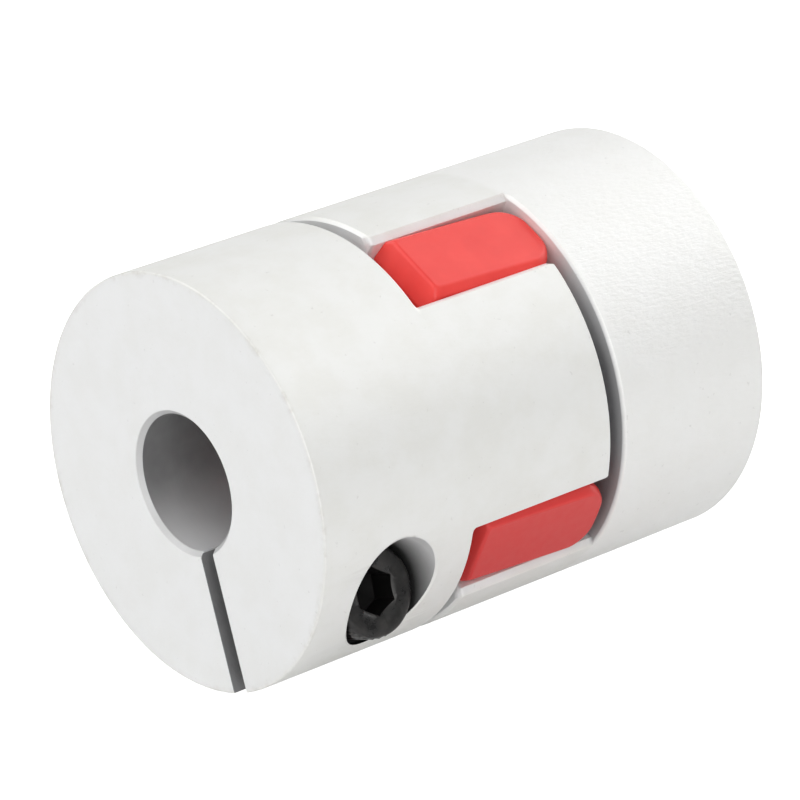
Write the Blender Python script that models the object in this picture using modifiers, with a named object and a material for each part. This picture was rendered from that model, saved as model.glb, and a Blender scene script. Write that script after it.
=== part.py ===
"""Clamp-type jaw coupling, 25 mm across and 34 mm long, for two 8 mm shafts.

Two equal aluminium hubs interlock through a red elastomer spider with four arms. Each hub
is slit from its bore to its rim, and one M3 socket-head screw draws the slit shut on the
shaft. Everything is modelled upright, with the coupling axis along Z and the front hub's
end face at Z = 0, and one empty then lays the axis along +X.
"""

from math import cos, pi, radians, sin, sqrt

import bmesh
import bpy
from mathutils import Matrix, Vector

MM = 0.001

# Whole coupling
OUTER_R = 12.5 * MM
LENGTH = 34.0 * MM
BODY_LENGTH = 11.3 * MM
JAW_LENGTH = 10.45 * MM
RIM_BREAK = 0.15 * MM
FRONT_JAW_ANGLE = radians(157.6)
REAR_JAW_ANGLE = FRONT_JAW_ANGLE - radians(90)

# Bore and jaws
BORE_R = 4.0 * MM
BORE_CHAMFER = 0.35 * MM
JAW_INNER_R = 6.6 * MM
WINDOW_WIDTH = 6.0 * MM
JAW_TIP_ROUND = 0.45 * MM

# Clamp slit, as an angle from the hub's own jaws
SLIT_WIDTH = 1.2 * MM
SLIT_ANGLE = radians(91.9)
SLIT_OFFSET = -0.56 * MM

# M3 x 10 socket-head clamp screw, across the slit
SCREW_Z = 5.65 * MM
SCREW_FROM_AXIS = 8.1 * MM
HEAD_R = 2.75 * MM
HEAD_HEIGHT = 3.0 * MM
HEAD_BREAK = 0.3 * MM
HEAD_TOP = 7.9 * MM
SHANK_R = 1.45 * MM
SHANK_LENGTH = 10.0 * MM
SOCKET_FLATS = 2.5 * MM
SOCKET_DEPTH = 1.5 * MM
SOCKET_TURN = radians(85)
COUNTERBORE_R = 3.05 * MM
SCREW_HOLE_R = 1.6 * MM
SEAT_GAP = 0.15 * MM

# Spider
ARM_TOP_R = 12.1 * MM
ARM_WIDTH = 5.4 * MM
ARM_FRONT_Z = 12.45 * MM
ARM_REAR_Z = 22.3 * MM
ARM_FACET_LENGTH = 0.6 * MM
ARM_FACET_DEPTH = 1.45 * MM
ARM_SIDE_CHAMFER = 0.65 * MM
ARM_CORNER_R = 1.6 * MM
ARM_ROOT_R = 5.2 * MM
RING_INNER_R = 4.25 * MM
RING_OUTER_R = 6.2 * MM
RING_FRONT_Z = 11.8 * MM
RING_REAR_Z = 22.2 * MM
SPIDER_TILT = radians(2.4)
TILT_TOWARDS = FRONT_JAW_ANGLE - radians(90)

TURNED_STEPS = 96
SMALL_STEPS = 48
TIP_ROUND_STEPS = 6
ARM_CORNER_SEGMENTS = 4
MERGE = 0.01 * MM
OVERCUT = 1 * MM
SHARP_ANGLE = radians(30)


def clear_scene():
    for obj in list(bpy.data.objects):
        bpy.data.objects.remove(obj, do_unlink=True)


def collection(name):
    made = bpy.data.collections.new(name)
    bpy.context.scene.collection.children.link(made)
    return made


def material(name, colour, roughness, metallic):
    made = bpy.data.materials.new(name)
    made.use_nodes = True
    shader = made.node_tree.nodes["Principled BSDF"]
    shader.inputs["Base Color"].default_value = (*colour, 1)
    shader.inputs["Roughness"].default_value = roughness
    shader.inputs["Metallic"].default_value = metallic
    return made


def new_object(name, mesh, into):
    made = bpy.data.objects.new(name, mesh)
    into.objects.link(made)
    return made


def turned(name, profile, steps, into):
    """A solid of revolution about Z. The profile lists (radius, z) down the outer side.

    One that starts on the axis ends on it too. Any other is a ring, and closes on itself.
    """
    count = len(profile)
    is_ring = profile[0][0] > 0
    edges = [(i, (i + 1) % count) for i in range(count if is_ring else count - 1)]
    mesh = bpy.data.meshes.new(name)
    mesh.from_pydata([(radius, 0, z) for radius, z in profile], edges, [])
    made = new_object(name, mesh, into)
    screw = made.modifiers.new("turn", "SCREW")
    screw.steps = steps
    screw.render_steps = steps
    screw.use_merge_vertices = True
    screw.merge_threshold = MERGE
    return made


def extruded(name, outline, thickness, into):
    """A flat outline in XY, given a thickness along Z about its own plane."""
    curve = bpy.data.curves.new(name, "CURVE")
    curve.dimensions = "2D"
    curve.fill_mode = "BOTH"
    curve.extrude = thickness / 2
    spline = curve.splines.new("POLY")
    spline.points.add(len(outline) - 1)
    for point, (x, y) in zip(spline.points, outline):
        point.co = (x, y, 0, 1)
    spline.use_cyclic_u = True
    source = new_object(name + "_curve", curve, into)
    made = new_object(name, evaluated_mesh(source, name), into)
    weld(made.data)
    bpy.data.objects.remove(source, do_unlink=True)
    return made


def evaluated_mesh(obj, name):
    bpy.context.view_layer.update()
    graph = bpy.context.evaluated_depsgraph_get()
    mesh = bpy.data.meshes.new_from_object(obj.evaluated_get(graph))
    mesh.name = name
    return mesh


def weld(mesh):
    shape = bmesh.new()
    shape.from_mesh(mesh)
    bmesh.ops.remove_doubles(shape, verts=shape.verts, dist=MERGE)
    bmesh.ops.recalc_face_normals(shape, faces=shape.faces)
    shape.to_mesh(mesh)
    shape.free()


def boolean(target, operation, other):
    modifier = target.modifiers.new(other.name, "BOOLEAN")
    modifier.operation = operation
    modifier.object = other
    other.hide_render = True
    other.display_type = "WIRE"


def bevel_edges(mesh, wanted, offset, segments):
    """Bevels the edges that the test picks by their two ends."""
    shape = bmesh.new()
    shape.from_mesh(mesh)
    edges = [edge for edge in shape.edges if wanted(edge.verts[0].co, edge.verts[1].co)]
    bmesh.ops.bevel(
        shape,
        geom=edges,
        offset=offset,
        segments=segments,
        profile=0.5,
        affect="EDGES",
        clamp_overlap=True,
    )
    shape.to_mesh(mesh)
    shape.free()


def finished(obj, name):
    """The object's modifiers made into one mesh, shaded smooth with crisp corners."""
    mesh = evaluated_mesh(obj, name)
    mesh.shade_smooth()
    mesh.set_sharp_from_angle(angle=SHARP_ANGLE)
    return mesh


def hub_blank(into):
    """The turned blank: a thick disc with the bore, and a ring that the jaws are cut from."""
    tip = BODY_LENGTH + JAW_LENGTH
    profile = [
        (OUTER_R, tip),
        (OUTER_R, RIM_BREAK),
        (OUTER_R - RIM_BREAK, 0),
        (BORE_R + BORE_CHAMFER, 0),
        (BORE_R, BORE_CHAMFER),
        (BORE_R, BODY_LENGTH),
        (JAW_INNER_R, BODY_LENGTH),
        (JAW_INNER_R, tip),
    ]
    return turned("hub_blank", profile, TURNED_STEPS, into)


def jaw_gap_cutter(into):
    """All that lies between the two jaws, whose flanks are parallel to the arms beside them."""
    corner = WINDOW_WIDTH / 2 * sqrt(2)
    reach = 2 * OUTER_R
    outline = [
        (corner, 0),
        (corner + reach, reach),
        (-corner - reach, reach),
        (-corner, 0),
        (-corner - reach, -reach),
        (corner + reach, -reach),
    ]
    height = 2 * JAW_LENGTH
    made = extruded("jaw_gap_cutter", outline, height, into)
    made.data.transform(Matrix.Translation((0, 0, BODY_LENGTH + height / 2)))
    return made


def tip_round_cutter(number, into):
    """A strip with a concave quarter-round, which rounds the tip corner along one jaw flank."""
    side = 1 - 2 * (number % 2)
    flank = WINDOW_WIDTH / 2
    tip = BODY_LENGTH + JAW_LENGTH
    outline = [(side * (flank - OVERCUT), tip - JAW_TIP_ROUND)]
    for step in range(TIP_ROUND_STEPS + 1):
        turn = pi / 2 * step / TIP_ROUND_STEPS
        across = flank + JAW_TIP_ROUND * (1 - cos(turn))
        outline.append((side * across, tip - JAW_TIP_ROUND * (1 - sin(turn))))
    outline.append((side * (flank + JAW_TIP_ROUND), tip + OVERCUT))
    outline.append((side * (flank - OVERCUT), tip + OVERCUT))
    made = extruded(f"tip_round_{number}", outline, 2 * OUTER_R, into)
    # The outline is stood up in the XZ plane, its length is laid along +Y, and +Y is turned
    # to the arm beside this flank.
    made.data.transform(Matrix.Rotation(pi / 2, 4, "X"))
    made.data.transform(Matrix.Translation((0, OUTER_R, 0)))
    made.data.transform(Matrix.Rotation(radians(90 * number - 45), 4, "Z"))
    return made


def slit_cutter(into):
    """The saw cut from the bore out through the rim, along the whole of the hub's body."""
    reach = OUTER_R + OVERCUT
    half = SLIT_WIDTH / 2
    outline = [
        (0, SLIT_OFFSET - half),
        (reach, SLIT_OFFSET - half),
        (reach, SLIT_OFFSET + half),
        (0, SLIT_OFFSET + half),
    ]
    made = extruded("slit_cutter", outline, BODY_LENGTH + 2 * OVERCUT, into)
    made.data.transform(Matrix.Translation((0, 0, BODY_LENGTH / 2)))
    made.data.transform(Matrix.Rotation(SLIT_ANGLE, 4, "Z"))
    return made


def screw_place():
    """The screw's frame in its hub: local Z out of the head, local origin on the slit's line."""
    along = Matrix.Rotation(SLIT_ANGLE - pi / 2, 4, "Z")
    out_of_head = Matrix.Rotation(pi / 2, 4, "Y")
    return along @ Matrix.Translation((0, SCREW_FROM_AXIS, SCREW_Z)) @ out_of_head


def screw_hole_cutter(into):
    """The counterbore for the head, and the hole that runs on through both ears."""
    seat = HEAD_TOP - HEAD_HEIGHT - SEAT_GAP
    reach = OUTER_R + OVERCUT
    profile = [
        (0, reach),
        (COUNTERBORE_R, reach),
        (COUNTERBORE_R, seat),
        (SCREW_HOLE_R, seat),
        (SCREW_HOLE_R, -reach),
        (0, -reach),
    ]
    made = turned("screw_hole_cutter", profile, SMALL_STEPS, into)
    made.matrix_world = screw_place()
    return made


def hub_mesh(helpers):
    blank = hub_blank(helpers)
    cutters = [jaw_gap_cutter(helpers), slit_cutter(helpers), screw_hole_cutter(helpers)]
    cutters += [tip_round_cutter(number, helpers) for number in range(4)]
    for cutter in cutters:
        boolean(blank, "DIFFERENCE", cutter)
    return finished(blank, "clamp_hub")


def screw_mesh(helpers):
    """Socket-head cap screw: head up, its top face at HEAD_TOP."""
    underside = HEAD_TOP - HEAD_HEIGHT
    tip = underside - SHANK_LENGTH
    profile = [
        (0, HEAD_TOP),
        (HEAD_R - HEAD_BREAK, HEAD_TOP),
        (HEAD_R, HEAD_TOP - HEAD_BREAK),
        (HEAD_R, underside),
        (SHANK_R, underside),
        (SHANK_R, tip + HEAD_BREAK),
        (SHANK_R - HEAD_BREAK, tip),
        (0, tip),
    ]
    body = turned("screw_body", profile, SMALL_STEPS, helpers)
    corner_r = SOCKET_FLATS / 2 / cos(pi / 6)
    turns = [SOCKET_TURN + side * pi / 3 for side in range(6)]
    outline = [(corner_r * cos(turn), corner_r * sin(turn)) for turn in turns]
    socket = extruded("hex_socket", outline, 2 * SOCKET_DEPTH, helpers)
    socket.location = (0, 0, HEAD_TOP)
    boolean(body, "DIFFERENCE", socket)
    return finished(body, "m3_cap_screw")


def arm(number, into):
    """One spider arm: a bar along a radius, facetted in front and round at its rear corners."""
    outline = [
        (ARM_ROOT_R, ARM_FRONT_Z),
        (ARM_TOP_R - ARM_FACET_DEPTH, ARM_FRONT_Z),
        (ARM_TOP_R, ARM_FRONT_Z + ARM_FACET_LENGTH),
        (ARM_TOP_R, ARM_REAR_Z),
        (ARM_ROOT_R, ARM_REAR_Z),
    ]
    made = extruded(f"arm_{number}", outline, ARM_WIDTH, into)
    # The outline is stood up in the XZ plane, which leaves the arm's width along Y.
    made.data.transform(Matrix.Rotation(pi / 2, 4, "X"))

    def along_one_side(a, b):
        return abs(a.y - b.y) < MERGE

    def is_rear_corner(a, b):
        return along_one_side(a, b) and min(a.z, b.z) > ARM_REAR_Z - MERGE

    def is_top_side(a, b):
        return along_one_side(a, b) and min(a.x, b.x) > ARM_TOP_R - MERGE

    bevel_edges(made.data, is_rear_corner, ARM_CORNER_R, ARM_CORNER_SEGMENTS)
    bevel_edges(made.data, is_top_side, ARM_SIDE_CHAMFER, 1)
    made.data.transform(Matrix.Rotation(radians(45) + number * pi / 2, 4, "Z"))
    return made


def spider_mesh(helpers):
    """The ring around the shaft ends, and four arms between the jaws' places."""
    profile = [
        (RING_OUTER_R, RING_REAR_Z),
        (RING_OUTER_R, RING_FRONT_Z),
        (RING_INNER_R, RING_FRONT_Z),
        (RING_INNER_R, RING_REAR_Z),
    ]
    ring = turned("spider_ring", profile, TURNED_STEPS, helpers)
    for number in range(4):
        boolean(ring, "UNION", arm(number, helpers))
    mesh = finished(ring, "jaw_spider")
    mesh.transform(Matrix.Translation((0, 0, -LENGTH / 2)))
    return mesh


def place(obj, parent, location=(0, 0, 0), rotation=(0, 0, 0)):
    obj.parent = parent
    obj.location = location
    obj.rotation_euler = rotation


def main():
    clear_scene()
    parts = collection("jaw_coupling")
    helpers = collection("cutters")
    aluminium = material("satin_aluminium", (0.80, 0.80, 0.79), 0.45, 0.6)
    polyurethane = material("red_polyurethane", (0.75, 0.06, 0.05), 0.4, 0.0)
    black_steel = material("black_oxide_steel", (0.03, 0.03, 0.03), 0.4, 0.7)

    hub = hub_mesh(helpers)
    hub.materials.append(aluminium)
    screw = screw_mesh(helpers)
    screw.materials.append(black_steel)
    spider = spider_mesh(helpers)
    spider.materials.append(polyurethane)
    for helper in list(helpers.objects):
        bpy.data.objects.remove(helper, do_unlink=True)
    bpy.data.collections.remove(helpers)

    axis = new_object("coupling_axis", None, parts)
    axis.rotation_euler = (pi / 2, 0, pi / 2)

    front_hub = new_object("front_hub", hub, parts)
    place(front_hub, axis, rotation=(0, 0, FRONT_JAW_ANGLE))
    rear_hub = new_object("rear_hub", hub, parts)
    place(rear_hub, axis, location=(0, 0, LENGTH), rotation=(pi, 0, REAR_JAW_ANGLE))

    screw_at, screw_turn, _ = screw_place().decompose()
    for name, owner in (("front_clamp_screw", front_hub), ("rear_clamp_screw", rear_hub)):
        place(new_object(name, screw, parts), owner, screw_at, screw_turn.to_euler())

    tilt = Matrix.Rotation(-SPIDER_TILT, 4, Vector((-sin(TILT_TOWARDS), cos(TILT_TOWARDS), 0)))
    clocked = tilt @ Matrix.Rotation(FRONT_JAW_ANGLE, 4, "Z")
    place(new_object("spider", spider, parts), axis, (0, 0, LENGTH / 2), clocked.to_euler())


main()
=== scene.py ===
"""The looks of a clamp-type jaw coupling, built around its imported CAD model.

Each CAD node is replaced by one detailed piece of the same size in the same place. The
pieces are modelled as the CAD parts are: upright, with the coupling axis along Z and the
hub's end face at Z = 0. AXIS then lays that frame along +X.
"""

from math import atan2, ceil, cos, pi, radians, sin, sqrt, tan

import bmesh
import bpy
import numpy as np
from mathutils import Euler, Matrix, Vector


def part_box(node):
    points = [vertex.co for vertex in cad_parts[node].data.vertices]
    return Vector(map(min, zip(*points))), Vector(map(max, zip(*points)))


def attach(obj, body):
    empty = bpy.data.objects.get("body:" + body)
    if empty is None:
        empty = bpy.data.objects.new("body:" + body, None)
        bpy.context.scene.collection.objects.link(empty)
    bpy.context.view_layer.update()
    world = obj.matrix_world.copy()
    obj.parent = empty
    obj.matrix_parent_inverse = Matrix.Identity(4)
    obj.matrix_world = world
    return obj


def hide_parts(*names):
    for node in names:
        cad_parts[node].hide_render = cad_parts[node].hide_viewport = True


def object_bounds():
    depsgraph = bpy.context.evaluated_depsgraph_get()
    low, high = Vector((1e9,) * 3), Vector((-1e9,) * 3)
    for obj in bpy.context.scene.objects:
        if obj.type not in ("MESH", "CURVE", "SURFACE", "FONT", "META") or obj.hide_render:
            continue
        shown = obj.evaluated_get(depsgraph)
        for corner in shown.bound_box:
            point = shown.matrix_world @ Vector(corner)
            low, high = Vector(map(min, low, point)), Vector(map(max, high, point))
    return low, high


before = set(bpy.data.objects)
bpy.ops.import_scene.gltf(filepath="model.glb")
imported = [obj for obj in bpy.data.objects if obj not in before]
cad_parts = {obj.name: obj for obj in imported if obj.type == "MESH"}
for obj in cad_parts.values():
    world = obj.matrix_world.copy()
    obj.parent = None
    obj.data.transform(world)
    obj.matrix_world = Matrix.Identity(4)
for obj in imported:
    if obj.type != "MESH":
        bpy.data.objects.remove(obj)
cad_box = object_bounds()

MM = 0.001

# The whole coupling, from the frame
HUB_LOW, HUB_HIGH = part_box("front_hub")
OUTER_R = (HUB_HIGH.z - HUB_LOW.z) / 2
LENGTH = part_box("rear_hub")[1].x
HUB_LENGTH = HUB_HIGH.x - HUB_LOW.x

# Hubs, as in the CAD
BODY_LENGTH = 11.3 * MM
FRONT_JAW_ANGLE = radians(157.6)
REAR_JAW_ANGLE = FRONT_JAW_ANGLE - radians(90)
BORE_R = 4.08 * MM
BORE_CHAMFER = 0.3 * MM
JAW_INNER_R = 6.6 * MM
WINDOW_WIDTH = 5.26 * MM
JAW_TIP_ROUND = 0.45 * MM
SLIT_WIDTH = 1.2 * MM
SLIT_ANGLE = radians(91.9)
SLIT_OFFSET = -0.56 * MM

# Which way the heads of the screws point, round the coupling's axis. The rear hub is turned
# over, so its angles run the other way.
FRONT_HEAD_ANGLE = FRONT_JAW_ANGLE + SLIT_ANGLE - radians(90)
REAR_HEAD_ANGLE = REAR_JAW_ANGLE - SLIT_ANGLE + radians(90)

# Edge breaks, which only the looks have
RIM_ROUND = 0.1 * MM
EDGE_ROUND = 0.05 * MM
TURNED_BREAK = 0.2 * MM
CORNER_R = 0.06 * MM
JAW_EDGE_R = 0.33 * MM
CHAMFER_SOFT = 0.08 * MM
RIM_RAMP = 0.4 * MM
HOLE_BREAK = 0.14 * MM

# Clamp screws, M3 x 10
SCREW_Z = 5.65 * MM
SCREW_FROM_AXIS = 8.1 * MM
HEAD_R = 2.75 * MM
HEAD_HEIGHT = 3.0 * MM
HEAD_TOP = 7.9 * MM
SHANK_LENGTH = 10.0 * MM
THREAD_R = 1.48 * MM
THREAD_ROOT_R = 1.22 * MM
THREAD_PITCH = 0.5 * MM
KNURL_TEETH = 36
KNURL_DEPTH = 0.09 * MM
SOCKET_FLATS = 2.5 * MM
SOCKET_DEPTH = 1.9 * MM
SOCKET_TURN = radians(85)
COUNTERBORE_R = 3.05 * MM
SCREW_HOLE_R = 1.6 * MM
TAPPED_ROOT_R = 1.8 * MM
SEAT_GAP = 0.15 * MM
SCREW_EDGE = 0.15 * MM
HEAD_TOP_ROUND = 0.3 * MM
SOCKET_MOUTH_SPARE = 0.06 * MM
UNDER_HEAD_RELIEF = 0.2 * MM

# Spider
ARM_TOP_R = 12.1 * MM
ARM_WIDTH = 5.1 * MM
ARM_CROWN = 0.02 * MM
ARM_REAR_CROWN = 0.15 * MM
ARM_FRONT_Z = 12.45 * MM
ARM_REAR_Z = 22.15 * MM
ARM_FACET_LENGTH = 0.6 * MM
ARM_FACET_DEPTH = 1.45 * MM
ARM_SIDE_CHAMFER = 0.46 * MM
ARM_REAR_BREAK = 0.25 * MM
ARM_SOFT = 0.25 * MM
ARM_FRONT_CORNER_R = 0.25 * MM
ARM_CORNER_R = 1.6 * MM
ARM_ROOT_R = 5.2 * MM
RING_INNER_R = 4.25 * MM
RING_OUTER_R = 6.2 * MM
RING_FRONT_Z = 11.8 * MM
RING_REAR_Z = 22.2 * MM
RING_EDGE = 0.3 * MM
SPIDER_TILT = radians(2.4)
TILT_TOWARDS = FRONT_JAW_ANGLE - radians(90)

# Fineness
ARC_STEP = 0.3 * MM
MIN_DEPTH_STEP = 0.004 * MM
CORNER_STEPS = 4
SOFT_STEPS = 3
ROUND_STEPS = 10
THREAD_ROWS = 8
HOLE_STEPS = 72
HOLE_BREAK_STEPS = 96
RING_STEPS = 128
KNURL_STEPS = 4
SHARP_ANGLE = radians(35)

# How far cutters reach past the hub, and how far a thread keeps from the slit
CUTTER_SPARE = 2 * MM
THREAD_START = 0.5 * MM
THREAD_PAST_SLIT = 0.3 * MM

# Tolerances for telling the hub's surfaces apart
ON_WALL = 0.02 * MM
IN_BORE = 0.1 * MM
WALL_TILT = 0.3

# Softboxes: azimuth and elevation in degrees, and power in watts. The powers weren't chosen by
# hand: a separate least-squares program worked them out, and picked these of sixteen places.
SOFTBOXES = [
    (-150, 50, 2.21),
    (-120, 20, 0.37),
    (-95, 20, 0.43),
    (-41, 5, 0.59),
    (-41, 20, 1.46),
    (-41, 50, 0.86),
    (0, 20, 0.2),
    (45, 20, 0.2),
    (45, 50, 0.48),
    (90, 20, 2.66),
    (110, 50, 0.17),
    (140, 20, 0.58),
]
SOFTBOX_DISTANCE = 0.6
SOFTBOX_SIZE = 0.6

WORLD_STRENGTH = 0.01

# Camera: lens and sensor in millimetres, near limit and place in metres, and the directions of
# its right and its top. The lens, place and directions are rounded from a least-squares fit.
CAMERA_LENS = 228.52
CAMERA_SENSOR = 36
CAMERA_NEAR = 0.01
CAMERA_PLACE = Vector((-0.16231, -0.20475, 0.12347))
CAMERA_RIGHT = Vector((0.75345, -0.65751, 0))
CAMERA_UP = Vector((0.27131, 0.31090, 0.91090))

# Stage, in metres
FLOOR_HALF = 2.0
FLOOR_BASE = 0.8
WALL_R = 1.9
WALL_HEIGHT = 1.0
WALL_STEPS = 48

# How far past the middle of a jaw's tip the painted shade on the shoulder behind it is darkest
PAINTED_SHADE_TURN = radians(27)

AXIS = Euler((pi / 2, 0, pi / 2)).to_matrix().to_4x4()


# ---------------------------------------------------------------- meshes


def piece(name, shape, place=None):
    """A new object with the bmesh as its mesh, put at the place if one is given."""
    bmesh.ops.recalc_face_normals(shape, faces=shape.faces)
    mesh = bpy.data.meshes.new(name)
    shape.to_mesh(mesh)
    shape.free()
    made = bpy.data.objects.new(name, mesh)
    bpy.context.scene.collection.objects.link(made)
    if place is not None:
        made.matrix_world = place
    return made


def combined(target, operation, others):
    """The target cut by, or joined with, the others, which are used up."""
    for other in others:
        modifier = target.modifiers.new(other.name, "BOOLEAN")
        modifier.operation = operation
        modifier.object = other
    bpy.context.view_layer.update()
    graph = bpy.context.evaluated_depsgraph_get()
    mesh = bpy.data.meshes.new_from_object(target.evaluated_get(graph))
    target.modifiers.clear()
    target.data = mesh
    for other in others:
        bpy.data.objects.remove(other, do_unlink=True)
    return target


def smooth(made):
    """Smooth shading that keeps flat faces flat right up to their rounded edges."""
    made.data.shade_smooth()
    made.data.set_sharp_from_angle(angle=SHARP_ANGLE)
    weighted = made.modifiers.new("weighted_normals", "WEIGHTED_NORMAL")
    weighted.weight = 100
    weighted.keep_sharp = True
    return made


def new_ring(shape, points, z):
    """New vertices at the points, all at the height z."""
    return [shape.verts.new((x, y, z)) for x, y in points]


def bridge(shape, low, high):
    """Quads between two rings that run the same way round."""
    count = len(low)
    for i in range(count):
        j = (i + 1) % count
        if low[i] is high[i] and low[j] is high[j]:
            continue
        shape.faces.new((low[i], low[j], high[j], high[i]))


def round_profile(radius, steps=CORNER_STEPS):
    """(depth, inset) pairs of a quarter round between a face and a wall."""
    turns = [pi / 2 * step / steps for step in range(steps + 1)]
    return [(radius * (1 - cos(turn)), radius * (1 - sin(turn))) for turn in turns]


def facet_profile(inset, depth, soft):
    """(depth, inset) pairs of a straight chamfer whose two corners are softly rounded."""
    slope = atan2(depth, inset)
    upper = soft * tan(slope / 2)
    lower = soft * tan((pi / 2 - slope) / 2)
    pairs = []
    for step in range(SOFT_STEPS + 1):
        turn = slope * step / SOFT_STEPS
        pairs.append((soft * (1 - cos(turn)), inset + upper - soft * sin(turn)))
    for step in range(SOFT_STEPS + 1):
        turn = slope + (pi / 2 - slope) * step / SOFT_STEPS
        pairs.append((depth + lower - soft * cos(turn), soft * (1 - sin(turn))))
    return pairs


def inset_at(profile, depth):
    """The profile's inset at a depth, constant past its ends."""
    depths, insets = zip(*profile)
    return float(np.interp(depth, depths, insets))


def all_depths(*profiles):
    """Every depth that any of the profiles needs, least first, without near repeats."""
    kept = []
    for depth in sorted(depth for profile in profiles for depth, _ in profile):
        if not kept or depth - kept[-1] > MIN_DEPTH_STEP:
            kept.append(depth)
    return kept


def polar_points(radius, start, end, count):
    """Points along a circle about the origin. The radius may be a function of the angle."""
    turns = [start + (end - start) * i / count for i in range(count + 1)]
    radii = [radius(turn) if callable(radius) else radius for turn in turns]
    return [(r * cos(turn), r * sin(turn)) for r, turn in zip(radii, turns)]


def corner_centre(edge, radius, corner_r, inner):
    """Where the fillet sits between a circle about the origin and a straight edge.

    An edge is (direction, offset, side): a line along a direction, offset to the left of it,
    with material to its left (side 1) or right (side -1).
    """
    direction, offset, side = edge
    across = offset + side * corner_r
    reach = radius + corner_r if inner else radius - corner_r
    along = sqrt(reach**2 - across**2)
    x = along * cos(direction) - across * sin(direction)
    y = along * sin(direction) + across * cos(direction)
    return Vector((x, y)), direction + atan2(across, along)


def corner_points(edge, radius, corner_r, inner, steps=CORNER_STEPS):
    """The fillet's points, anticlockwise round the material. One step makes a chamfer."""
    centre, bearing = corner_centre(edge, radius, corner_r, inner)
    direction, _, side = edge
    on_circle = bearing + pi if inner else bearing
    on_edge = direction - side * pi / 2
    turns = (on_edge, on_circle) if (side > 0) != inner else (on_circle, on_edge)
    start, end = turns
    while end < start:
        end += 2 * pi
    while end - start > 2 * pi:
        end -= 2 * pi
    return [
        (centre.x + corner_r * cos(turn), centre.y + corner_r * sin(turn))
        for turn in (start + (end - start) * i / steps for i in range(steps + 1))
    ]


# ---------------------------------------------------------------- hubs


def sector(outer_r, inner_r, first, last, counts, stops=(), outer_corner=(CORNER_R, CORNER_STEPS)):
    """Outline of the material between two edges and two circles, anticlockwise.

    counts holds the number of steps in each outer arc between the stops, and then in the
    inner arc. The rounded corners are left out where they meet the outer arc's own points.
    """
    base_r = outer_r(first[0]) if callable(outer_r) else outer_r
    corner_r, steps = outer_corner
    _, start = corner_centre(first, base_r, corner_r, False)
    _, end = corner_centre(last, base_r, corner_r, False)
    bounds = [start, *stops, end]
    outer = []
    for low, high, count in zip(bounds, bounds[1:], counts):
        outer += polar_points(outer_r, low, high, count)[:-1]
    _, inner_start = corner_centre(first, inner_r, CORNER_R, True)
    _, inner_end = corner_centre(last, inner_r, CORNER_R, True)
    inner = polar_points(inner_r, inner_end, inner_start, counts[-1])
    return (
        outer
        + corner_points(last, base_r, corner_r, False, steps)
        + corner_points(last, inner_r, CORNER_R, True)
        + inner[1:-1]
        + corner_points(first, inner_r, CORNER_R, True)
        + corner_points(first, base_r, corner_r, False, steps)[:-1]
    )


def jaw_edges(number, widened=0.0):
    """The two flanks of a jaw, each parallel to the spider arm beside it."""
    middle = number * pi
    offset = WINDOW_WIDTH / 2 + widened
    return (middle - pi / 4, offset, 1), (middle + pi / 4, -offset, -1)


def jaw_span(number):
    """The bearings at which a jaw's outer arc starts and ends."""
    return [corner_centre(edge, OUTER_R, JAW_EDGE_R, False)[1] for edge in jaw_edges(number)]


def arc_count(radius, angle):
    """How many steps an arc is divided into."""
    return max(2, ceil(radius * abs(angle) / ARC_STEP))


def hub_body(shape):
    """The slit disc. Returns its top ring, and where on it each jaw's outer arc lies."""
    first_at = SLIT_ANGLE - 2 * pi
    spans = [jaw_span(0), jaw_span(1)]
    stops = sorted((bearing - 2 * pi if bearing > SLIT_ANGLE else bearing)
                   for span in spans for bearing in span)
    bounds = [first_at, *stops, SLIT_ANGLE]
    counts = [arc_count(OUTER_R, high - low) for low, high in zip(bounds, bounds[1:])]
    counts.append(arc_count(BORE_R, 2 * pi))
    rim = round_profile(RIM_ROUND)
    edge = round_profile(EDGE_ROUND)
    turned = facet_profile(TURNED_BREAK, TURNED_BREAK, EDGE_ROUND)
    chamfer = facet_profile(BORE_CHAMFER, BORE_CHAMFER, CHAMFER_SOFT)

    def near_jaw(turn):
        """1 on a jaw's arc, falling to 0 a short way past it."""
        away = min(max(low - turn, turn - high) for low, high in zip(stops[::2], stops[1::2]))
        share = min(max(away * OUTER_R / RIM_RAMP, 0), 1)
        return 1 - share * share * (3 - 2 * share)

    def outline(rim_inset, bore_inset, slit_inset, spare_jaws):
        half = SLIT_WIDTH / 2 + slit_inset
        first = (first_at, SLIT_OFFSET + half, 1)
        last = (SLIT_ANGLE, SLIT_OFFSET - half, -1)

        def outer(turn):
            return OUTER_R - rim_inset * (1 - near_jaw(turn) if spare_jaws else 1)

        return sector(outer, BORE_R + bore_inset, first, last, counts, stops)

    rings = []
    for depth in all_depths(rim, chamfer, edge):
        insets = [inset_at(profile, depth) for profile in (rim, chamfer, edge)]
        rings.append(new_ring(shape, outline(*insets, False), depth))
    for depth in reversed(all_depths(edge, turned)):
        inset = inset_at(edge, depth)
        points = outline(inset_at(turned, depth), inset, inset, True)
        rings.append(new_ring(shape, points, BODY_LENGTH - depth))
    for low, high in zip(rings, rings[1:]):
        bridge(shape, low, high)
    shape.faces.new(reversed(rings[0]))
    spans = []
    for arc in (1, 3):
        start = sum(counts[:arc])
        spans.append(range(start, start + counts[arc] + 1))
    return rings[-1], spans


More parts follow.
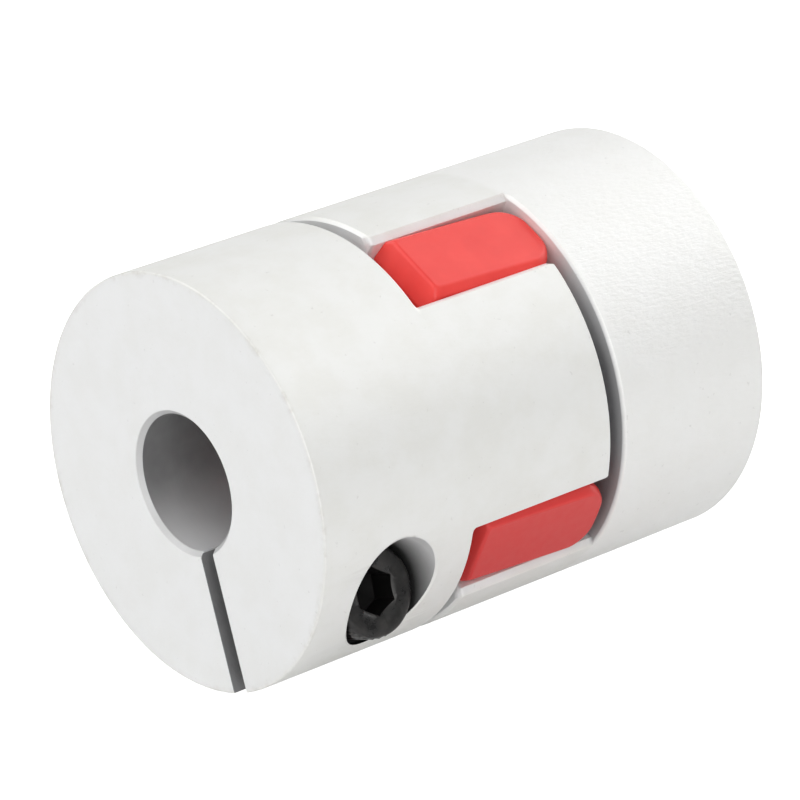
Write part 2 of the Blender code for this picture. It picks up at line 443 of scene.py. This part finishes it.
def hub_jaw(shape, number, base_arc):
    """One jaw, on the outer arc that it shares with the body. Returns its base ring."""
    edge = facet_profile(TURNED_BREAK, TURNED_BREAK, EDGE_ROUND)
    tip_round = round_profile(JAW_TIP_ROUND, ROUND_STEPS)
    low, high = jaw_span(number)
    counts = [len(base_arc) - 1, arc_count(JAW_INNER_R, high - low)]

    def outline(edge_inset, flank_inset):
        first, last = jaw_edges(number, flank_inset)
        return sector(OUTER_R - edge_inset, JAW_INNER_R + edge_inset, first, last, counts,
                      outer_corner=(JAW_EDGE_R, 1))

    base = base_arc + new_ring(shape, outline(0, 0)[len(base_arc):], BODY_LENGTH)
    rings = [base]
    for depth in reversed(all_depths(edge, tip_round)):
        points = outline(inset_at(edge, depth), inset_at(tip_round, depth))
        rings.append(new_ring(shape, points, HUB_LENGTH - depth))
    for lower, upper in zip(rings, rings[1:]):
        bridge(shape, lower, upper)
    shape.faces.new(rings[-1])
    return base


def screw_place():
    """The screw's frame in its hub: local Z out of the head, local origin on the slit's line."""
    along = Matrix.Rotation(SLIT_ANGLE - pi / 2, 4, "Z")
    out_of_head = Matrix.Rotation(pi / 2, 4, "Y")
    return along @ Matrix.Translation((0, SCREW_FROM_AXIS, SCREW_Z)) @ out_of_head


def lathe(shape, rows, steps, first_turn=0.0):
    """A closed turned body. A row is (radius, z), each a number or one number for each step.

    The first and last rows are (0, z), the ends of the axis.
    """
    turns = first_turn + np.arange(steps) * 2 * pi / steps
    rings = []
    for radius, z in rows[1:-1]:
        radii = np.broadcast_to(radius, steps)
        heights = np.broadcast_to(z, steps)
        rings.append([
            shape.verts.new((r * cos(turn), r * sin(turn), h))
            for r, h, turn in zip(radii, heights, turns)
        ])
    for low, high in zip(rings, rings[1:]):
        bridge(shape, low, high)
    for ring, (_, z) in ((rings[0], rows[0]), (rings[-1], rows[-1])):
        pole = shape.verts.new((0, 0, z))
        for i in range(steps):
            shape.faces.new((pole, ring[i], ring[(i + 1) % steps]))
    return rings


def thread_rows(low, high, root_r, crest_r, steps, fade):
    """Rows of a right-hand V thread from low to high, which fades to its root at both ends.

    The crest is a fifth of the pitch wide, and the sides fall to the root half a pitch away.
    """
    turns = np.arange(steps) / steps
    count = round((high - low) / THREAD_PITCH * THREAD_ROWS)
    rows = []
    for i in range(count + 1):
        z = low + (high - low) * i / count
        phase = (z / THREAD_PITCH - turns) % 1
        ridge = np.clip(1.25 - 2.5 * np.abs(phase - 0.5), 0, 1)
        ends = min(1, (z - low) / fade, (high - z) / fade)
        rows.append((root_r + (crest_r - root_r) * ridge * ends, z))
    return rows


def screw_hole_cutter():
    """The counterbore, the clear hole in the near ear, and the tapped hole in the far one."""
    seat = HEAD_TOP - HEAD_HEIGHT - SEAT_GAP
    reach = OUTER_R + CUTTER_SPARE
    slit_far_side = SLIT_OFFSET - SLIT_WIDTH / 2
    rows = [(0, -reach), (SCREW_HOLE_R, -reach)]
    rows += thread_rows(-reach + THREAD_START, slit_far_side + THREAD_PAST_SLIT, SCREW_HOLE_R,
                        TAPPED_ROOT_R, HOLE_STEPS, THREAD_PITCH)
    rows += [(SCREW_HOLE_R, seat), (COUNTERBORE_R, seat), (COUNTERBORE_R, reach), (0, reach)]
    shape = bmesh.new()
    lathe(shape, rows, HOLE_STEPS)
    return piece("screw_hole_cutter", shape, screw_place())


def hole_break_cutter(hole_r, side):
    """A ring of triangular section that breaks a hole's edge where it leaves the round rim.

    side is 1 at the head's end of the screw and -1 at its tip.
    """
    past = 0.4
    apex_r = 0.93 * hole_r
    apex_rise = 0.4 * MM

    def surface(radius, turn):
        """Height of the hub's outer surface above the screw's origin, at a point round the hole."""
        from_axis = SCREW_FROM_AXIS + radius * sin(turn)
        return sqrt(OUTER_R**2 - from_axis**2)

    shape = bmesh.new()
    rings = [[], [], []]
    for i in range(HOLE_BREAK_STEPS):
        turn = 2 * pi * i / HOLE_BREAK_STEPS
        down = Vector((hole_r, surface(hole_r, turn) - HOLE_BREAK))
        out = Vector((hole_r + HOLE_BREAK, surface(hole_r + HOLE_BREAK, turn)))
        over = past * (out - down)
        apex = Vector((apex_r, surface(hole_r, turn) + apex_rise))
        for ring, point in zip(rings, (down - over, out + over, apex)):
            ring.append(shape.verts.new((point.x * cos(turn), point.x * sin(turn), side * point.y)))
    for low, high in zip(rings, rings[1:] + rings[:1]):
        bridge(shape, low, high)
    return piece(f"hole_break_{side}", shape, screw_place())


def hub_mesh():
    """The mesh of a clamp hub with its jaws, slit and screw hole, which both hubs share."""
    shape = bmesh.new()
    top, spans = hub_body(shape)
    outline = list(top)
    # The jaws are put in from the last to the first, so that the earlier places still hold.
    order = [(1, spans[0]), (0, spans[1])]
    for number, span in reversed(order):
        base_arc = [top[i] for i in span]
        base = hub_jaw(shape, number, base_arc)
        outline[span[0] + 1:span[-1]] = reversed(base[len(base_arc):])
    shape.faces.new(outline)
    hub = piece("clamp_hub", shape)
    cutters = [screw_hole_cutter()]
    cutters += [hole_break_cutter(COUNTERBORE_R, 1), hole_break_cutter(SCREW_HOLE_R, -1)]
    combined(hub, "DIFFERENCE", cutters)
    mesh = hub.data
    bpy.data.objects.remove(hub, do_unlink=True)
    return mesh


# ---------------------------------------------------------------- screws


def screw_mesh():
    """Socket-head cap screw: threaded shank, knurled head, hexagon socket with a drilled floor."""
    steps = KNURL_TEETH * KNURL_STEPS
    turns = np.arange(steps) * 2 * pi / steps
    underside = HEAD_TOP - HEAD_HEIGHT
    tip = underside - SHANK_LENGTH
    edge = SCREW_EDGE
    knurl = HEAD_R - KNURL_DEPTH * np.tile([0, 0.45, 1, 0.45], KNURL_TEETH)
    mouth_r = SOCKET_FLATS / 2 / cos(pi / 6) + SOCKET_MOUTH_SPARE
    hexagon = SOCKET_FLATS / 2 / np.cos(turns % (pi / 3) - pi / 6)
    mouth_slope = 0.6
    mouth_z = HEAD_TOP - (mouth_r - hexagon) * mouth_slope - 0.02 * MM
    floor_z = HEAD_TOP - SOCKET_DEPTH

    rows = [(0, tip), (THREAD_ROOT_R * 0.8, tip), (THREAD_ROOT_R, tip + edge)]
    rows += thread_rows(tip + edge, underside - UNDER_HEAD_RELIEF, THREAD_ROOT_R, THREAD_R,
                        steps, THREAD_PITCH)[1:]
    rows += [
        (THREAD_ROOT_R + 0.05 * MM, underside - 0.08 * MM),
        (THREAD_R, underside),
        (HEAD_R - KNURL_DEPTH - edge, underside),
        (HEAD_R - KNURL_DEPTH, underside + edge),
        (knurl, underside + 2 * edge),
        (knurl, HEAD_TOP - HEAD_TOP_ROUND - edge),
    ]
    for depth, inset in reversed(round_profile(HEAD_TOP_ROUND)):
        rows.append((HEAD_R - KNURL_DEPTH - inset, HEAD_TOP - depth))
    rows += [
        (mouth_r, HEAD_TOP),
        (hexagon, mouth_z),
        (hexagon, floor_z),
        (SOCKET_FLATS * 0.42, floor_z - 0.05 * MM),
        (0, floor_z - 0.45 * MM),
    ]
    shape = bmesh.new()
    lathe(shape, rows, steps, SOCKET_TURN)
    screw = piece("m3_cap_screw", shape)
    mesh = screw.data
    mesh.materials.append(black_steel())
    mesh.materials.append(painted_shade_socket())
    for face in mesh.polygons:
        is_inside = face.center.xy.length < mouth_r and face.center.z < HEAD_TOP - 0.1 * MM
        face.material_index = int(is_inside and face.center.z > underside)
    bpy.data.objects.remove(screw, do_unlink=True)
    return mesh


# ---------------------------------------------------------------- spider


def plan_outline(front, rear, half, front_r, rear_r):
    """An arm seen from above its top: Z along the coupling, and its width. Anticlockwise.

    Its sides and its rear end are crowned.
    """
    corners = [
        (rear - rear_r, half - rear_r, rear_r, 0),
        (front + front_r, half - front_r, front_r, pi / 2),
        (front + front_r, -half + front_r, front_r, pi),
        (rear - rear_r, -half + rear_r, rear_r, 3 * pi / 2),
    ]
    straight = []
    for i, (z, y, radius, start) in enumerate(corners):
        for step in range(ROUND_STEPS + 1):
            turn = start + pi / 2 * step / ROUND_STEPS
            straight.append((z + radius * cos(turn), y + radius * sin(turn)))
        if i != 1:
            next_z, next_y, next_r, next_start = corners[(i + 1) % 4]
            end = (next_z + next_r * cos(next_start), next_y + next_r * sin(next_start))
            last = straight[-1]
            for step in range(1, ROUND_STEPS):
                share = step / ROUND_STEPS
                straight.append(tuple(x + (y - x) * share for x, y in zip(last, end)))
    middle, reach = (front + rear) / 2, (rear - front) / 2
    points = []
    for z, y in straight:
        along = (z - middle) / reach
        across = y / half
        points.append((z + ARM_REAR_CROWN * max(along, 0) * (1 - across**2),
                       y + ARM_CROWN * across * (1 - along**2)))
    return points


def spider_arm(number):
    """A bar along a radius, with a steep facet in front and soft chamfers round its top."""
    chamfer = facet_profile(ARM_SIDE_CHAMFER, ARM_SIDE_CHAMFER, ARM_SOFT)
    rear_break = round_profile(ARM_REAR_BREAK)
    facet = facet_profile(ARM_FACET_LENGTH, ARM_FACET_DEPTH, ARM_SOFT)
    shape = bmesh.new()
    rings = []
    for depth in [*all_depths(chamfer, rear_break, facet), ARM_TOP_R - ARM_ROOT_R]:
        side = inset_at(chamfer, depth)
        points = plan_outline(
            ARM_FRONT_Z + inset_at(facet, depth),
            ARM_REAR_Z - inset_at(rear_break, depth),
            ARM_WIDTH / 2 - side,
            ARM_FRONT_CORNER_R,
            ARM_CORNER_R - side / 2,
        )
        rings.append([shape.verts.new((ARM_TOP_R - depth, y, z)) for z, y in points])
    for low, high in zip(rings, rings[1:]):
        bridge(shape, low, high)
    shape.faces.new(rings[0])
    shape.faces.new(rings[-1])
    return piece(f"arm_{number}", shape, Matrix.Rotation(pi / 4 + number * pi / 2, 4, "Z"))


def spider_ring():
    """The ring that joins the arms, around the shaft ends."""
    shape = bmesh.new()
    edge = round_profile(RING_EDGE)
    section = [(RING_OUTER_R - inset, RING_FRONT_Z + depth) for depth, inset in edge]
    section += [(RING_OUTER_R - inset, RING_REAR_Z - depth) for depth, inset in reversed(edge)]
    section += [(RING_INNER_R + inset, RING_REAR_Z - depth) for depth, inset in edge]
    section += [(RING_INNER_R + inset, RING_FRONT_Z + depth) for depth, inset in reversed(edge)]
    rings = []
    for radius, z in section:
        rings.append(new_ring(shape, polar_points(radius, 0, 2 * pi, RING_STEPS)[:-1], z))
    for low, high in zip(rings, rings[1:] + rings[:1]):
        bridge(shape, low, high)
    return piece("spider_ring", shape)


def spider_mesh():
    """The mesh of the whole spider, about its own middle."""
    ring = combined(spider_ring(), "UNION", [spider_arm(number) for number in range(4)])
    mesh = ring.data
    mesh.transform(Matrix.Translation((0, 0, -LENGTH / 2)))
    bpy.data.objects.remove(ring, do_unlink=True)
    return mesh


# ---------------------------------------------------------------- materials


class Finish:
    """A Principled material and short ways to add procedural detail to it.

    Bare numbers in the finishes are the amounts of an effect: mixes from 0 to 1, sizes of noise
    in millimetres, and the noise levels between which an effect sets in.
    """

    def __init__(self, name, **sockets):
        self.material = bpy.data.materials.new(name)
        self.material.use_nodes = True
        self.tree = self.material.node_tree
        self.shader = self.tree.nodes["Principled BSDF"]
        for socket, value in sockets.items():
            self.shader.inputs[socket.replace("_", " ")].default_value = value
        self.coordinates = self.add("ShaderNodeTexCoord").outputs["Object"]

    def add(self, kind, **settings):
        node = self.tree.nodes.new(kind)
        for name, value in settings.items():
            setattr(node, name, value)
        return node

    def link(self, output, socket):
        self.tree.links.new(output, socket)

    def noise(self, size, stretch=(1, 1, 1), detail=3, roughness=0.55):
        """Noise whose features are about that size in millimetres, from 0 to 1."""
        mapping = self.add("ShaderNodeMapping")
        mapping.inputs["Scale"].default_value = [1 / (size * MM * axis) for axis in stretch]
        self.link(self.coordinates, mapping.inputs["Vector"])
        texture = self.add("ShaderNodeTexNoise")
        texture.inputs["Scale"].default_value = 1
        texture.inputs["Detail"].default_value = detail
        texture.inputs["Roughness"].default_value = roughness
        self.link(mapping.outputs["Vector"], texture.inputs["Vector"])
        return texture.outputs["Fac"]

    def spread(self, value, low, high, to_low, to_high):
        node = self.add("ShaderNodeMapRange")
        for name, number in zip(("From Min", "From Max", "To Min", "To Max"),
                                (low, high, to_low, to_high)):
            node.inputs[name].default_value = number
        self.link(value, node.inputs["Value"])
        return node.outputs["Result"]

    def math(self, operation, first, second):
        node = self.add("ShaderNodeMath", operation=operation)
        for socket, value in zip(node.inputs, (first, second)):
            if isinstance(value, (int, float)):
                socket.default_value = value
            else:
                self.link(value, socket)
        return node.outputs["Value"]

    def place(self):
        """How far along the coupling's axis a point is, and how far from that axis."""
        split = self.add("ShaderNodeSeparateXYZ")
        self.link(self.coordinates, split.inputs["Vector"])
        flat = self.add("ShaderNodeVectorMath", operation="MULTIPLY")
        flat.inputs[1].default_value = (0, 1, 1)
        self.link(self.coordinates, flat.inputs[0])
        length = self.add("ShaderNodeVectorMath", operation="LENGTH")
        self.link(flat.outputs["Vector"], length.inputs[0])
        return split.outputs["X"], length.outputs["Value"]

    def near(self, value, centre, reach):
        """1 where the value is at the centre, down to 0 where it is that far off."""
        away = self.math("ABSOLUTE", self.math("SUBTRACT", value, centre), 0)
        return self.spread(away, 0, reach, 1, 0)

    def toward(self, angle):
        """How far out a point is in the direction that lies at an angle round the axis."""
        node = self.add("ShaderNodeVectorMath", operation="DOT_PRODUCT")
        node.inputs[1].default_value = (0, cos(angle), sin(angle))
        self.link(self.coordinates, node.inputs[0])
        return node.outputs["Value"]

    def shoulder(self, plane, angle):
        """Painted shade on the shoulder at a plane, in the gap behind a jaw's tip: up to 1 where it
        lies in that direction, less beside.
        """
        along, from_axis = self.place()
        turned = self.math("ABSOLUTE", self.math("DIVIDE", self.toward(angle), from_axis), 0)
        share = self.spread(turned, 0.4, 0.9, 0.1, 1)
        deep = self.spread(from_axis, OUTER_R - 0.9 * MM, OUTER_R - 0.3 * MM, 1, 0.75)
        flat = self.spread(from_axis, OUTER_R - 0.26 * MM, OUTER_R, 1, 0)
        near = self.math("MULTIPLY", self.near(along, plane, 0.3 * MM), flat)
        return self.math("MULTIPLY", share, self.math("MULTIPLY", deep, near))

    def blend(self, share, first, second):
        """A colour between two colours, either of which may be another node's output."""
        node = self.add("ShaderNodeMix", data_type="RGBA")
        self.link(share, node.inputs["Factor"])
        colour_sockets = [socket for socket in node.inputs if socket.type == "RGBA"]
        for socket, value in zip(colour_sockets, (first, second)):
            if isinstance(value, tuple):
                socket.default_value = (*value, 1)
            else:
                self.link(value, socket)
        return [socket for socket in node.outputs if socket.type == "RGBA"][0]

    def bumps(self, *layers):
        """Layers of (height, depth in millimetres, strength), one on top of another."""
        below = None
        for height, depth, strength in layers:
            bump = self.add("ShaderNodeBump")
            bump.inputs["Strength"].default_value = strength
            bump.inputs["Distance"].default_value = depth * MM
            self.link(height, bump.inputs["Height"])
            if below is not None:
                self.link(below, bump.inputs["Normal"])
            below = bump.outputs["Normal"]
        self.link(below, self.shader.inputs["Normal"])


def blasted_aluminium():
    """Fine-blasted, clear-anodised aluminium, which the turned outside shows most.

    Faint clouds and pits all over, a grain along the axis on the rear hub, and rubbed rims. Painted
    shade darkens the bore's chamfer and the shoulders in the gaps between the hubs.
    """
    made = Finish("blasted_aluminium", Metallic=0.35)
    along, from_axis = made.place()
    outside = made.spread(from_axis, OUTER_R - 0.2 * MM, OUTER_R - 0.05 * MM, 0, 1)
    rear = made.spread(along, LENGTH - BODY_LENGTH - 0.5 * MM, LENGTH - BODY_LENGTH, 0, 1)
    rim = made.math("MAXIMUM", made.near(along, 0, 0.22 * MM), made.near(along, LENGTH, 0.22 * MM))
    rim = made.math("MULTIPLY", rim, made.near(from_axis, OUTER_R, 0.5 * MM))

    clouds = made.spread(made.noise(2.6, detail=6, roughness=0.6), 0.4, 0.62, 0, 1)
    grain = made.noise(0.2, (2.6, 1, 1), detail=3)
    pits = made.spread(made.noise(0.35, detail=2), 0.7, 0.76, 0, 1)
    nicks = made.spread(made.noise(1.1, detail=6, roughness=0.65), 0.5, 0.68, 0.12, 1)

    shade = made.math("MULTIPLY", clouds, made.spread(outside, 0, 1, 0.35, 1))
    colour = made.blend(shade, (0.872, 0.877, 0.875), (0.82, 0.82, 0.797))
    colour = made.blend(made.math("MULTIPLY", outside, 0.5), colour, (0.885, 0.887, 0.85))
    rear_outside = made.math("MULTIPLY", outside, rear)
    colour = made.blend(made.math("MULTIPLY", rear_outside, 0.5), colour, (0.945, 0.945, 0.935))
    colour = made.blend(made.math("MULTIPLY", pits, 0.2), colour, (0.45, 0.44, 0.42))
    worn = made.math("MULTIPLY", rim, nicks)
    colour = made.blend(made.math("MULTIPLY", worn, 0.45), colour, (0.5, 0.46, 0.41))
    # Painted shade on the bore's chamfer, fading out at its outer edge
    chamfer_shade = made.spread(from_axis, BORE_R + BORE_CHAMFER - 0.06 * MM, BORE_R + BORE_CHAMFER, 0.85, 0)
    colour = made.blend(chamfer_shade, colour, (0.56, 0.56, 0.56))
    # Painted shade on both shoulders, in the narrow gaps behind the other hub's jaw tips, darkest a
    # little past the middle of each tip
    for plane, angle in ((BODY_LENGTH, REAR_JAW_ANGLE - PAINTED_SHADE_TURN),
                         (LENGTH - BODY_LENGTH, FRONT_JAW_ANGLE + PAINTED_SHADE_TURN)):
        colour = made.blend(made.shoulder(plane, angle), colour, (0.26, 0.26, 0.27))
    made.link(colour, made.shader.inputs["Base Color"])
    made.link(made.spread(grain, 0.3, 0.7, 0.46, 0.6), made.shader.inputs["Roughness"])
    raised = made.math("MULTIPLY", grain, made.spread(rear_outside, 0, 1, 0.16, 1))
    made.bumps((raised, 0.08, 0.6), (worn, 0.02, 0.3))
    return made.material


def bored_aluminium():
    """The bore, the slit and the screw holes, which the blasting didn't reach. Their dark colour is
    painted shade for these hollows, and the lighter side at the bottom of the bore is painted
    light.
    """
    made = Finish("bored_aluminium", Metallic=0.4)
    _, from_axis = made.place()
    rings = made.noise(0.3, (1, 60, 60), detail=3)
    blotch = made.noise(2.0, detail=2)
    # The dark base colour is painted shade for the hollows
    colour = made.blend(made.spread(blotch, 0.35, 0.65, 0, 1), (0.26, 0.26, 0.265),
                        (0.31, 0.31, 0.315))
    in_bore = made.math("LESS_THAN", from_axis, BORE_R + 0.1 * MM)
    # Painted light: lighter towards the bottom of the bore, where light from above falls
    painted_bore_light = made.near(made.toward(radians(-90)), BORE_R, 0.9 * BORE_R)
    painted_bore_light = made.math("MULTIPLY", in_bore, made.math("MULTIPLY", painted_bore_light, painted_bore_light))
    colour = made.blend(painted_bore_light, colour, (0.82, 0.82, 0.825))
    made.link(colour, made.shader.inputs["Base Color"])
    made.link(made.spread(rings, 0.3, 0.7, 0.36, 0.5), made.shader.inputs["Roughness"])
    made.bumps((rings, 0.01, 0.3))
    return made.material


def counterbored_aluminium():
    """The walls of the screws' counterbores, with painted shade that darkens them down to the
    screws' heads.
    """
    made = Finish("counterbored_aluminium", Metallic=0.3)
    along, _ = made.place()
    head_shades = [made.spread(made.toward(angle), HEAD_TOP - 0.4 * MM, HEAD_TOP + 2.2 * MM, 1, 0)
              for angle in (FRONT_HEAD_ANGLE, REAR_HEAD_ANGLE)]
    is_front = made.math("LESS_THAN", along, LENGTH / 2)
    is_rear = made.math("SUBTRACT", 1, is_front)
    share = made.math("ADD", made.math("MULTIPLY", head_shades[0], is_front),
                      made.math("MULTIPLY", head_shades[1], is_rear))
    streaks = made.noise(0.4, (4, 1, 1), detail=3)
    # Painted shade: near white at the counterbore's mouth, near black down by the screw's head
    colour = made.blend(share, (0.8, 0.8, 0.8), (0.05, 0.05, 0.05))
    made.link(colour, made.shader.inputs["Base Color"])
    made.link(made.spread(streaks, 0.3, 0.7, 0.4, 0.55), made.shader.inputs["Roughness"])
    made.bumps((streaks, 0.02, 0.4))
    return made.material


def red_polyurethane():
    """Moulded elastomer, a little cloudy, with painted shade: a deeper red on the arms that lie
    lower.
    """
    made = Finish("red_polyurethane", Subsurface_Weight=0.1, Subsurface_Scale=0.6 * MM,
                  Subsurface_Radius=(1.0, 0.25, 0.2))
    cloud = made.noise(3.0, detail=3)
    skin = made.noise(0.5, detail=4)
    colour = made.blend(made.spread(cloud, 0.35, 0.65, 0, 1), (0.83, 0.05, 0.042),
                        (0.89, 0.062, 0.052))
    # Painted shade: a deeper red lower down
    lower = made.spread(made.toward(radians(90)), -6 * MM, 8 * MM, 1, 0)
    colour = made.blend(lower, colour, (0.66, 0.036, 0.034))
    made.link(colour, made.shader.inputs["Base Color"])
    made.link(made.spread(skin, 0.3, 0.7, 0.36, 0.46), made.shader.inputs["Roughness"])
    made.bumps((skin, 0.01, 0.3))
    return made.material


def black_steel():
    """Black-oxide steel with oily stains."""
    made = Finish("black_oxide_steel", Metallic=0.5)
    stain = made.noise(0.8, detail=4)
    fine = made.noise(0.12, detail=3)
    colour = made.blend(made.spread(stain, 0.35, 0.65, 0, 1), (0.027, 0.027, 0.027),
                        (0.05, 0.048, 0.046))
    made.link(colour, made.shader.inputs["Base Color"])
    made.link(made.spread(stain, 0.3, 0.7, 0.24, 0.4), made.shader.inputs["Roughness"])
    made.bumps((fine, 0.006, 0.4))
    return made.material


def painted_shade_socket():
    """The screw's socket, painted near black as shade in its hollow."""
    made = Finish("painted_shade_socket", Metallic=0.0, Specular_IOR_Level=0.2)
    stain = made.noise(0.8, detail=4)
    # Painted shade in the socket's hollow, far darker than the head's black steel
    colour = made.blend(stain, (0.004, 0.004, 0.004), (0.009, 0.008, 0.008))
    made.link(colour, made.shader.inputs["Base Color"])
    made.link(made.spread(stain, 0.3, 0.7, 0.45, 0.6), made.shader.inputs["Roughness"])
    return made.material


# ---------------------------------------------------------------- assembly


def add_piece(name, mesh, place, body, node):
    """A piece whose place is in its mesh, as a CAD node's is."""
    made = bpy.data.objects.new(name, mesh.copy())
    made.data.name = name
    made.data.transform(place)
    bpy.context.scene.collection.objects.link(made)
    smooth(made)
    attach(made, body)
    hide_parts(node)
    return made


def finish_number(mesh, face, into_screw):
    """The material of a face of the hub: 0 blasted, 1 bored or slit, 2 counterbored."""
    corners = [mesh.vertices[index].co for index in face.vertices]
    from_axis = max(corner.xy.length for corner in corners)
    if abs(face.normal.z) < WALL_TILT and from_axis < BORE_R + IN_BORE:
        return 1
    if all(abs(slit_distance(corner)) < SLIT_WIDTH / 2 + ON_WALL for corner in corners):
        return 1
    from_screw = max((into_screw @ corner).xy.length for corner in corners)
    if from_screw < COUNTERBORE_R - IN_BORE:
        return 1
    return 2 if from_screw < COUNTERBORE_R + ON_WALL else 0


def slit_distance(point):
    """How far a point is from the slit's middle plane. Points beyond the axis are far away."""
    along = point.x * cos(SLIT_ANGLE) + point.y * sin(SLIT_ANGLE)
    across = point.y * cos(SLIT_ANGLE) - point.x * sin(SLIT_ANGLE)
    return across - SLIT_OFFSET if along > 0 else OUTER_R


def paint_hub(mesh):
    """Gives the hub its three finishes, in the order that finish_number counts them."""
    mesh.materials.clear()
    mesh.materials.append(blasted_aluminium())
    mesh.materials.append(bored_aluminium())
    mesh.materials.append(counterbored_aluminium())
    into_screw = screw_place().inverted()
    for face in mesh.polygons:
        face.material_index = finish_number(mesh, face, into_screw)


def make_coupling():
    """The five pieces, each in its place on its body."""
    hub = hub_mesh()
    paint_hub(hub)
    screw = screw_mesh()
    spider = spider_mesh()
    spider.materials.clear()
    spider.materials.append(red_polyurethane())

    front = AXIS @ Matrix.Rotation(FRONT_JAW_ANGLE, 4, "Z")
    turned_over = Euler((pi, 0, REAR_JAW_ANGLE)).to_matrix().to_4x4()
    rear = AXIS @ Matrix.Translation((0, 0, LENGTH)) @ turned_over
    for end, place in (("front", front), ("rear", rear)):
        add_piece(f"{end}_clamp_hub", hub, place, f"{end}_hub", f"{end}_hub")
        add_piece(f"{end}_cap_screw", screw, place @ screw_place(), f"{end}_clamp_screw",
                  f"{end}_clamp_screw")
    tilt = Matrix.Rotation(-SPIDER_TILT, 4, Vector((-sin(TILT_TOWARDS), cos(TILT_TOWARDS), 0)))
    middle = AXIS @ Matrix.Translation((0, 0, LENGTH / 2)) @ tilt
    add_piece("jaw_spider", spider, middle @ Matrix.Rotation(FRONT_JAW_ANGLE, 4, "Z"), "spider",
              "spider")


# ---------------------------------------------------------------- stage


def glowing(name, base):
    """A matt material that glows white, but only to the camera, so it lights nothing."""
    made = bpy.data.materials.new(name)
    made.use_nodes = True
    shader = made.node_tree.nodes["Principled BSDF"]
    shader.inputs["Base Color"].default_value = (base, base, base, 1)
    shader.inputs["Roughness"].default_value = 0.9
    shader.inputs["Emission Color"].default_value = (1, 1, 1, 1)
    rays = made.node_tree.nodes.new("ShaderNodeLightPath")
    made.node_tree.links.new(rays.outputs["Is Camera Ray"], shader.inputs["Emission Strength"])
    return made


def add_stage(z):
    """A pale floor, and a white wall round it that is seen only in views from low down."""
    half = FLOOR_HALF
    floor = bpy.data.meshes.new("floor")
    floor.from_pydata([(-half, -half, z), (half, -half, z), (half, half, z), (-half, half, z)],
                      [], [(0, 1, 2, 3)])
    floor.materials.append(glowing("pale_floor", FLOOR_BASE))
    ring = polar_points(WALL_R, 0, 2 * pi, WALL_STEPS)[:-1]
    wall = bpy.data.meshes.new("wall")
    wall.from_pydata([(x, y, level) for level in (z, z + WALL_HEIGHT) for x, y in ring], [],
                     [(i, (i + 1) % WALL_STEPS, (i + 1) % WALL_STEPS + WALL_STEPS, i + WALL_STEPS)
                      for i in range(WALL_STEPS)])
    wall.materials.append(glowing("white_wall", 0))
    for mesh in (floor, wall):
        made = bpy.data.objects.new(mesh.name, mesh)
        bpy.context.scene.collection.objects.link(made)


def add_softbox(name, azimuth, elevation, power):
    """A square area light that faces the coupling. Azimuth 0 is towards -Y, 90 towards +X."""
    centre = Vector((LENGTH / 2, 0, 0))
    turn, rise = radians(azimuth), radians(elevation)
    away = Vector((sin(turn) * cos(rise), -cos(turn) * cos(rise), sin(rise)))
    light = bpy.data.lights.new(name, "AREA")
    light.shape = "SQUARE"
    light.size = SOFTBOX_SIZE
    light.energy = power
    lamp = bpy.data.objects.new(name, light)
    bpy.context.scene.collection.objects.link(lamp)
    lamp.location = centre + away * SOFTBOX_DISTANCE
    lamp.rotation_euler = away.to_track_quat("Z", "Y").to_euler()


def add_light():
    """A ring of large, dim softboxes round the coupling, in front of an almost black world."""
    for number, (azimuth, elevation, power) in enumerate(SOFTBOXES):
        add_softbox(f"softbox_{number}", azimuth, elevation, power)
    world = bpy.data.worlds.new("studio")
    world.use_nodes = True
    background = world.node_tree.nodes["Background"]
    background.inputs["Color"].default_value = (1, 1, 1, 1)
    background.inputs["Strength"].default_value = WORLD_STRENGTH
    bpy.context.scene.world = world
    bpy.context.scene.view_settings.view_transform = "Standard"


def add_camera():
    """A long lens that looks at the coupling from the front left and a little above."""
    camera = bpy.data.cameras.new("camera")
    camera.lens = CAMERA_LENS
    camera.sensor_width = CAMERA_SENSOR
    camera.clip_start = CAMERA_NEAR
    rig = bpy.data.objects.new("camera", camera)
    bpy.context.scene.collection.objects.link(rig)
    back = CAMERA_RIGHT.cross(CAMERA_UP).normalized()
    turn = Matrix((CAMERA_RIGHT.normalized(), CAMERA_UP.normalized(), back)).transposed()
    rig.matrix_world = Matrix.Translation(CAMERA_PLACE) @ turn.to_4x4()
    bpy.context.scene.camera = rig


add_camera()
make_coupling()
add_stage(cad_box[0].z)
add_light()
